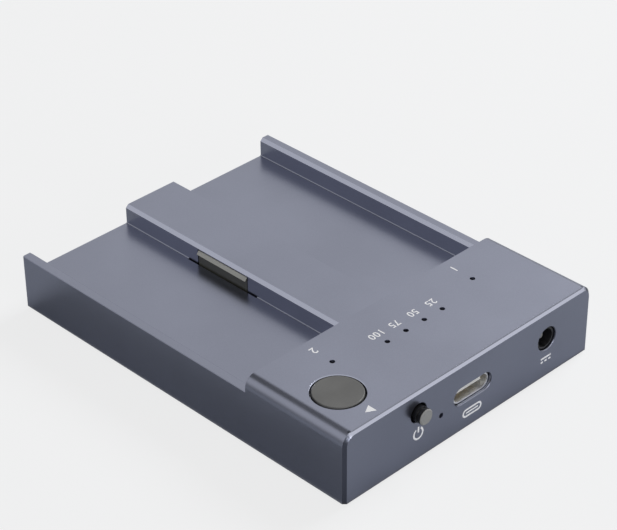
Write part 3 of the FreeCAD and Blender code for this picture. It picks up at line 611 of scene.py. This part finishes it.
def spring_row(node):
    """The joint that shortens a node, and the node's row in it."""
    for joint in frame["record"]["behaviour"]["joints"]:
        for row in joint["deforming_nodes"]:
            if row["node"] == node:
                return joint, row
    raise ValueError("no joint shortens " + node)


def sprung(node, material):
    """Shows a copy of a spring, with a mesh of its own, in its CAD node's place."""
    joint, row = spring_row(node)
    letter = row["mode"][-1]
    which = "xyz".index(letter)
    low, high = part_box(node)
    anchor = (low + high) / 2
    anchor[which] = row["fixed_end_" + letter + "_m"]
    axis = [float(place == which) for place in range(3)]
    keep = 1.0 - joint["range_m"][1] / (high - low)[which]
    piece = finished(node, material)
    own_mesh(piece)
    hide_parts(node)


class MakeHousing(bpy.types.Operator):
    """Finishes the housing and the base cover"""
    bl_idname = "duplicator.housing"
    bl_label = "Housing and cover"

    def execute(self, context):
        look = context.scene.housing_look
        stand_in("housing", look.edge, anodised("anodised_aluminium", look.colour, look=look))
        stand_in("base_cover", look.edge, anodised("cover_metal", look.cover, 0.45, 0.5))
        return {"FINISHED"}


class MakeFeet(bpy.types.Operator):
    """Finishes the feet and the screws"""
    bl_idname = "duplicator.feet"
    bl_label = "Feet and screws"

    def execute(self, context):
        look = context.scene.feet_look
        foot_rubber = rubber("foot_rubber", look.rubber)
        for node in ("foot_front_left", "foot_front_right", "foot_rear_left", "foot_rear_right"):
            stand_in(node, look.edge, foot_rubber)
        black = plated("black_oxide", look.oxide, 0.42, "Z")
        stand_in("cover_screws", look.screw_edge, black)
        zinc = plated("zinc_plate", look.zinc, 0.3, "Z")
        paint(zinc, "board_screws", "latch_guide_screws")
        return {"FINISHED"}


class MakeButtons(bpy.types.Operator):
    """Finishes the start cap, the power button, their switches and all springs"""
    bl_idname = "duplicator.buttons"
    bl_label = "Buttons"

    def execute(self, context):
        look = context.scene.button_look
        cap = moulded("start_cap_plastic", look.start, 0.42, 0.35, 5200.0)
        stand_in("start_cap", look.edge, cap)
        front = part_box("power_button")[0].y + look.inlay
        # The power button's face is drawn lighter as painted light and its side near black as painted shade.
        plunger = painted_lit_face("power_button_plastic", look.power, look.face, front)
        stand_in("power_button", look.edge, plunger)
        switch = moulded("switch_moulding", look.switch, 0.5)
        paint(switch, "start_actuator", "start_switch_body", "power_switch_body")
        tin = plated("switch_plate", look.plate, 0.3, "X")
        paint(tin, "start_switch_cover", "start_switch_leads", "power_switch_leads")
        spring = plated("spring_steel", look.spring, 0.24, "X")
        for node in ("start_dome", "power_spring", "source_latch_spring", "target_latch_spring"):
            sprung(node, spring)
        return {"FINISHED"}


class MakePortSockets(bpy.types.Operator):
    """Finishes the USB socket and the power socket"""
    bl_idname = "duplicator.port_sockets"
    bl_label = "Sockets in the ports face"

    def execute(self, context):
        look = context.scene.socket_look
        stand_in("usb_shell", look.edge, plated("socket_shell_steel", look.steel, 0.42, "Y"))
        # The tongue's colour is partly painted light, drawn near white for light inside the recessed socket.
        stand_in("usb_tongue", look.edge, moulded("tongue_painted_light", look.tongue, 0.4, 0.2))
        stand_in("dc_jack_body", look.edge, moulded("socket_moulding", look.moulding, 0.45, 0.3))
        paint(plated("gold_flash", look.gold, 0.22, "Y"), "usb_contacts")
        # The pin's nickel is darkened as painted shade for its place deep in the hole.
        pin = plated("pin_nickel_painted_shade", look.pin, 0.34, "Y")
        stand_in("dc_jack_pin", look.edge, pin)
        paint(pin, "dc_jack_contact", "dc_jack_leads")
        return {"FINISHED"}


class MakeCardSockets(bpy.types.Operator):
    """Finishes the two card connectors and their contacts"""
    bl_idname = "duplicator.card_sockets"
    bl_label = "Card connectors"

    def execute(self, context):
        look = context.scene.socket_look
        nylon = moulded("connector_nylon", look.moulding, 0.55, 0.5, 2400.0)
        gold = plated("contact_gold", look.gold, 0.24, "Y")
        for bay in ("source", "target"):
            stand_in(bay + "_connector", look.edge, nylon)
            paint(gold, bay + "_contacts")
        return {"FINISHED"}


class MakeLatches(bpy.types.Operator):
    """Finishes the latches and their guide"""
    bl_idname = "duplicator.latches"
    bl_label = "Latches"

    def execute(self, context):
        look = context.scene.latch_look
        plastic = rubbed("latch_plastic", look.colour, look.rubbed)
        for bay in ("source", "target"):
            stand_in(bay + "_latch", look.edge, plastic)
        paint(moulded("guide_plastic", look.guide, 0.55), "latch_guide")
        return {"FINISHED"}


class MakeBoard(bpy.types.Operator):
    """Finishes the board, the chips and the small parts on it"""
    bl_idname = "duplicator.board"
    bl_label = "Board"

    def execute(self, context):
        look = context.scene.board_look
        finishes = {
            "main_board": solder_mask("solder_mask", look.mask, look.pads),
            "duplicator_chip": die("duplicator_chip_epoxy", look.epoxy),
            "thermal_pads": rubber("thermal_pad_silicone", look.silicone),
            "power_inductors": die("ferrite", look.ferrite),
            "capacitors": die("ceramic", look.ceramic),
            "clock_crystal": plated("crystal_can", look.can, 0.3, "X"),
        }
        for node, material in finishes.items():
            paint(material, node)
        paint(die("bridge_chip_epoxy", look.epoxy), "source_bridge_chip", "target_bridge_chip")
        return {"FINISHED"}


class MakeLamps(bpy.types.Operator):
    """Finishes the lamps and the light pipes"""
    bl_idname = "duplicator.lamps"
    bl_label = "Lamps"

    def execute(self, context):
        look = context.scene.lamp_look
        pipe = smoked("light_pipe_plastic", look.pipe)
        paint(pipe, "source_light_pipe", "target_light_pipe", "progress_light_guide", "power_light_pipe")
        resin = moulded("lamp_resin", look.resin, 0.3, 0.2, 2600.0)
        paint(resin, "source_lamp", "target_lamp", "progress_lamps", "power_lamp")
        return {"FINISHED"}


def flat_shape(outline):
    """A bmesh that holds one flat face in x and y from points in order."""
    work = bmesh.new()
    work.faces.new([work.verts.new((x, y, 0)) for x, y in outline])
    return work


def ring_sector(radius, line, start, end, steps):
    """A flat arc with square ends, spun from a short radial edge."""
    work = bmesh.new()
    inner = work.verts.new((radius - line / 2, 0, 0))
    outer = work.verts.new((radius + line / 2, 0, 0))
    edge = work.edges.new((inner, outer))
    bmesh.ops.rotate(work, verts=work.verts, cent=(0, 0, 0), matrix=Matrix.Rotation(start, 3, "Z"))
    bmesh.ops.spin(work, geom=[edge, inner, outer], cent=(0, 0, 0), axis=(0, 0, 1), angle=end - start,
                   steps=steps, use_merge=False)
    return work


def outlined(across, high, line):
    """The flat outline of an oblong with full round ends."""
    straight = (across - high) / 2
    radius = high / 2
    parts = [bar(2 * straight, line, 0, side * radius) for side in (-1, 1)]
    for side in (-1, 1):
        end = ring_sector(radius, line, -math.pi / 2, math.pi / 2, steps=12)
        bmesh.ops.rotate(end, verts=end.verts, cent=(0, 0, 0),
                         matrix=Matrix.Rotation(0 if side > 0 else math.pi, 3, "Z"))
        bmesh.ops.translate(end, verts=end.verts, vec=(side * straight, 0, 0))
        parts.append(end)
    return gathered(parts)


def bar(across, high, x=0.0, y=0.0):
    """A flat oblong."""
    return flat_shape([(x - across / 2, y - high / 2), (x + across / 2, y - high / 2),
                       (x + across / 2, y + high / 2), (x - across / 2, y + high / 2)])


def gathered(parts):
    """Several flat bmeshes in one."""
    whole = bmesh.new()
    for part in parts:
        mesh = bpy.data.meshes.new("part")
        part.to_mesh(mesh)
        part.free()
        whole.from_mesh(mesh)
        bpy.data.meshes.remove(mesh)
    return whole


def number(text, height, bold):
    """A number as a flat bmesh, centred."""
    figure_share = 0.72  # height of a figure as a share of the text's size
    curve = bpy.data.curves.new("figure", "FONT")
    curve.body = text
    curve.size = height / figure_share
    curve.space_character = 1.08
    curve.resolution_u = 4
    curve.offset = bold
    holder = bpy.data.objects.new("figure", curve)
    bpy.context.scene.collection.objects.link(holder)
    bpy.context.view_layer.update()
    mesh = bpy.data.meshes.new_from_object(holder)
    work = bmesh.new()
    work.from_mesh(mesh)
    bpy.data.objects.remove(holder)
    bpy.data.curves.remove(curve)
    bpy.data.meshes.remove(mesh)
    bmesh.ops.remove_doubles(work, verts=work.verts, dist=0.001 * mm)
    low = Vector(min(v.co[i] for v in work.verts) for i in range(3))
    high = Vector(max(v.co[i] for v in work.verts) for i in range(3))
    bmesh.ops.translate(work, verts=work.verts, vec=-(low + high) / 2)
    return work


def mark(work, name, matrix, thickness, material):
    """Gives a flat bmesh its print thickness, puts it in place and lets it ride on the case."""
    made = bmesh.ops.extrude_face_region(work, geom=list(work.faces))
    raised = [item for item in made["geom"] if isinstance(item, bmesh.types.BMVert)]
    bmesh.ops.translate(work, verts=raised, vec=(0, 0, thickness))
    bmesh.ops.transform(work, verts=work.verts, matrix=matrix)
    bmesh.ops.recalc_face_normals(work, faces=work.faces)
    piece = piece_from(work, name)
    for polygon in piece.data.polygons:
        polygon.use_smooth = False
    give(piece, material)
    settle(piece, "case")


def on_roof(x, y):
    """Places a flat mark on the block's roof, to be read from the bays."""
    return Matrix.Translation((x, y, block_top)) @ Matrix.Rotation(math.pi, 4, "Z")


def on_face(x, z):
    """Places a flat mark upright on the ports face."""
    return Matrix.Translation((x, ports_face, z)) @ Matrix.Rotation(math.pi / 2, 4, "X")


def middle(node):
    """The middle of a CAD node's box."""
    low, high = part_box(node)
    return (low + high) / 2


def triangle(side):
    """A flat triangle that points along x."""
    half = side * 0.56
    return flat_shape([(-side / 2, -half), (side / 2, 0), (-side / 2, half)])


def power_sign(radius, line):
    """An open ring with a bar in its gap."""
    gap = math.radians(32)
    stem_high, stem_rise = radius * 1.1, radius * 0.72
    ring = ring_sector(radius, line, math.pi / 2 + gap, math.pi * 2.5 - gap, steps=28)
    return gathered([ring, bar(line, stem_high, 0, stem_rise)])


def socket_sign(height, line):
    """The outline of the USB socket's mouth with the tongue in it."""
    across, high = height * 2.9, height * 0.9
    tongue_line = line * 0.8
    return gathered([outlined(across, high, line), bar(across - high, tongue_line)])


def current_sign(height, line):
    """A long bar over three dashes."""
    whole, dash = height * 1.7, height * 0.38
    pitch = dash * 1.72
    dashes = [bar(dash, line, step * pitch, -line) for step in (-1, 0, 1)]
    return gathered([bar(whole, line, 0, line)] + dashes)


class MakeMarks(bpy.types.Operator):
    """Prints the plain signs and numbers"""
    bl_idname = "duplicator.marks"
    bl_label = "Printed marks"

    def execute(self, context):
        look = context.scene.mark_look
        ink = printed("white_print", look.colour)
        ring_radius = look.height * 0.7
        bay_height = look.height * 1.1

        def put(work, name, matrix):
            mark(work, name, matrix, look.thickness, ink)

        start = middle("start_cap")
        put(triangle(look.sign), "start_sign", on_roof(start.x, start.y - look.start_back))

        low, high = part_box("progress_lamps")
        texts = look.row.split()
        first, last = high.x - lamp_half, low.x + lamp_half
        y = (low.y + high.y) / 2 + look.row_back
        for place, text in enumerate(texts):
            x = first + (last - first) * place / (len(texts) - 1)
            put(number(text, look.height, look.bold), "row_number_" + text, on_roof(x, y))

        for bay, text in (("source", "1"), ("target", "2")):
            low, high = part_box(bay + "_light_pipe")
            y = high.y - pipe_end + look.bay_back
            put(number(text, bay_height, look.bold), bay + "_number", on_roof((low.x + high.x) / 2, y))

        signs = (
            ("power_sign", "power_button", power_sign(ring_radius, look.line)),
            ("socket_sign", "usb_shell", socket_sign(look.height, look.line)),
            ("direct_current_sign", "dc_jack_pin", current_sign(look.height, look.line)),
        )
        for name, node, work in signs:
            place = middle(node)
            put(work, name, on_face(place.x, place.z - look.face_drop))
        return {"FINISHED"}


class MakeStage(bpy.types.Operator):
    """Sets the floor, the lamps, the sky and the camera"""
    bl_idname = "duplicator.stage"
    bl_label = "Stage"

    def execute(self, context):
        look = context.scene.stage_look
        self.floor(look)
        self.sky(context.scene, look)
        self.lamp("key_lamp", look.key_place, look.key_size, look.key_power)
        self.lamp("fill_lamp", look.fill_place, look.fill_size, look.fill_power)
        self.camera(context.scene, look)
        context.scene.view_settings.view_transform = "Standard"
        return {"FINISHED"}

    def floor(self, look):
        work = bmesh.new()
        bmesh.ops.create_grid(work, x_segments=1, y_segments=1, size=look.floor_size / 2)
        floor = piece_from(work, "floor")
        finish = Finish("floor_paper")
        paper = finish.node("ShaderNodeBsdfDiffuse", Color=look.floor)
        white = finish.node("ShaderNodeEmission", Strength=1.0)
        seen = finish.node("ShaderNodeLightPath", out="Is Camera Ray")
        lit = finish.node("ShaderNodeMixShader", seen * look.glow, paper, white)
        clear = finish.node("ShaderNodeBsdfTransparent")
        behind = finish.node("ShaderNodeNewGeometry", out="Backfacing")
        close = finish.node("ShaderNodeLightPath", out="Ray Length") < look.underside
        hidden = behind.maths("MAXIMUM", close)
        finish.show(finish.node("ShaderNodeMixShader", hidden, lit, clear))
        give(floor, finish.material)

    def sky(self, scene, look):
        """White to the camera, dim as a light, and in reflections a white room with a gap in its ceiling."""
        world = bpy.data.worlds.new("studio")
        world.use_nodes = True
        scene.world = world
        graph = Graph(world.node_tree, "ShaderNodeOutputWorld")
        seen = graph.node("ShaderNodeLightPath", out="Is Camera Ray")
        mirrored = graph.node("ShaderNodeLightPath", out="Is Glossy Ray")
        towards = graph.node("ShaderNodeTexCoord", out="Generated")
        across, along, up = (graph.axis(name, towards) for name in "XYZ")
        gap = across.band(*look.gap_across) * along.band(*look.gap_along) * up.within(*look.gap_up)
        skirting = look.skirting + up.within(*look.foot) * (1.0 - look.skirting)
        studio = (1.0 - gap * (1.0 - look.gap)) * skirting * look.walls
        level = look.sky + seen * (1.0 - look.sky) + mirrored * (studio - look.sky)
        graph.show(graph.node("ShaderNodeBackground", (1.0, 1.0, 1.0), level))

    def lamp(self, name, place, size, power):
        """A round soft lamp that shines at the object."""
        data = bpy.data.lights.new(name, "AREA")
        data.shape = "DISK"
        data.size = size
        data.energy = power
        lamp = bpy.data.objects.new(name, data)
        bpy.context.scene.collection.objects.link(lamp)
        lamp.location = place
        lamp.rotation_mode = "QUATERNION"
        lamp.rotation_quaternion = (-Vector(place)).to_track_quat("-Z", "Y")

    def camera(self, scene, look):
        data = bpy.data.cameras.new("camera")
        data.sensor_width = 36.0
        data.lens = look.focal_pixels / look.picture * data.sensor_width
        data.clip_start, data.clip_end = 0.01, 100.0
        data.shift_x, data.shift_y = (offset / look.picture for offset in look.centre)
        camera = bpy.data.objects.new("camera", data)
        scene.collection.objects.link(camera)
        turn, rise = math.radians(look.azimuth), math.radians(look.elevation)
        back = Vector((math.sin(turn) * math.cos(rise), -math.cos(turn) * math.cos(rise), math.sin(rise)))
        aim = Vector((0.0, ports_face + look.aim_back, look.aim_rise))
        camera.location = aim + back * look.distance
        camera.rotation_mode = "QUATERNION"
        level = (-back).to_track_quat("-Z", "Y").to_matrix()
        tilt = Matrix.Rotation(math.radians(look.roll), 3, "Z")
        camera.rotation_quaternion = (level @ tilt).to_quaternion()
        scene.camera = camera


class DuplicatorPanel(bpy.types.Panel):
    """Lists the steps and their sizes and colours"""
    bl_idname = "VIEW3D_PT_duplicator"
    bl_label = "Drive duplicator"
    bl_space_type = "VIEW_3D"
    bl_region_type = "UI"
    bl_category = "Duplicator"

    def draw(self, context):
        for look in looks_by_name:
            group = getattr(context.scene, look)
            box = self.layout.box()
            for key in group.bl_rna.properties.keys():
                if key not in ("rna_type", "name"):
                    box.prop(group, key)
        for operator in operators:
            self.layout.operator(operator.bl_idname)


looks_by_name = {
    "housing_look": HousingLook, "feet_look": FeetLook, "button_look": ButtonLook,
    "socket_look": SocketLook, "latch_look": LatchLook, "mark_look": MarkLook,
    "board_look": BoardLook, "lamp_look": LampLook, "stage_look": StageLook,
}
operators = (MakeStage, MakeHousing, MakeFeet, MakeButtons, MakePortSockets, MakeCardSockets, MakeLatches,
             MakeBoard, MakeLamps, MakeMarks)


def register():
    for look, group in looks_by_name.items():
        bpy.utils.register_class(group)
        setattr(bpy.types.Scene, look, PointerProperty(type=group))
    for operator in operators:
        bpy.utils.register_class(operator)
    bpy.utils.register_class(DuplicatorPanel)


def unregister():
    bpy.utils.unregister_class(DuplicatorPanel)
    for operator in reversed(operators):
        bpy.utils.unregister_class(operator)
    for look, group in looks_by_name.items():
        delattr(bpy.types.Scene, look)
        bpy.utils.unregister_class(group)


def main():
    register()
    for operator in operators:
        area, name = operator.bl_idname.split(".")
        getattr(getattr(bpy.ops, area), name)()


if __name__ == "__main__":
    main()
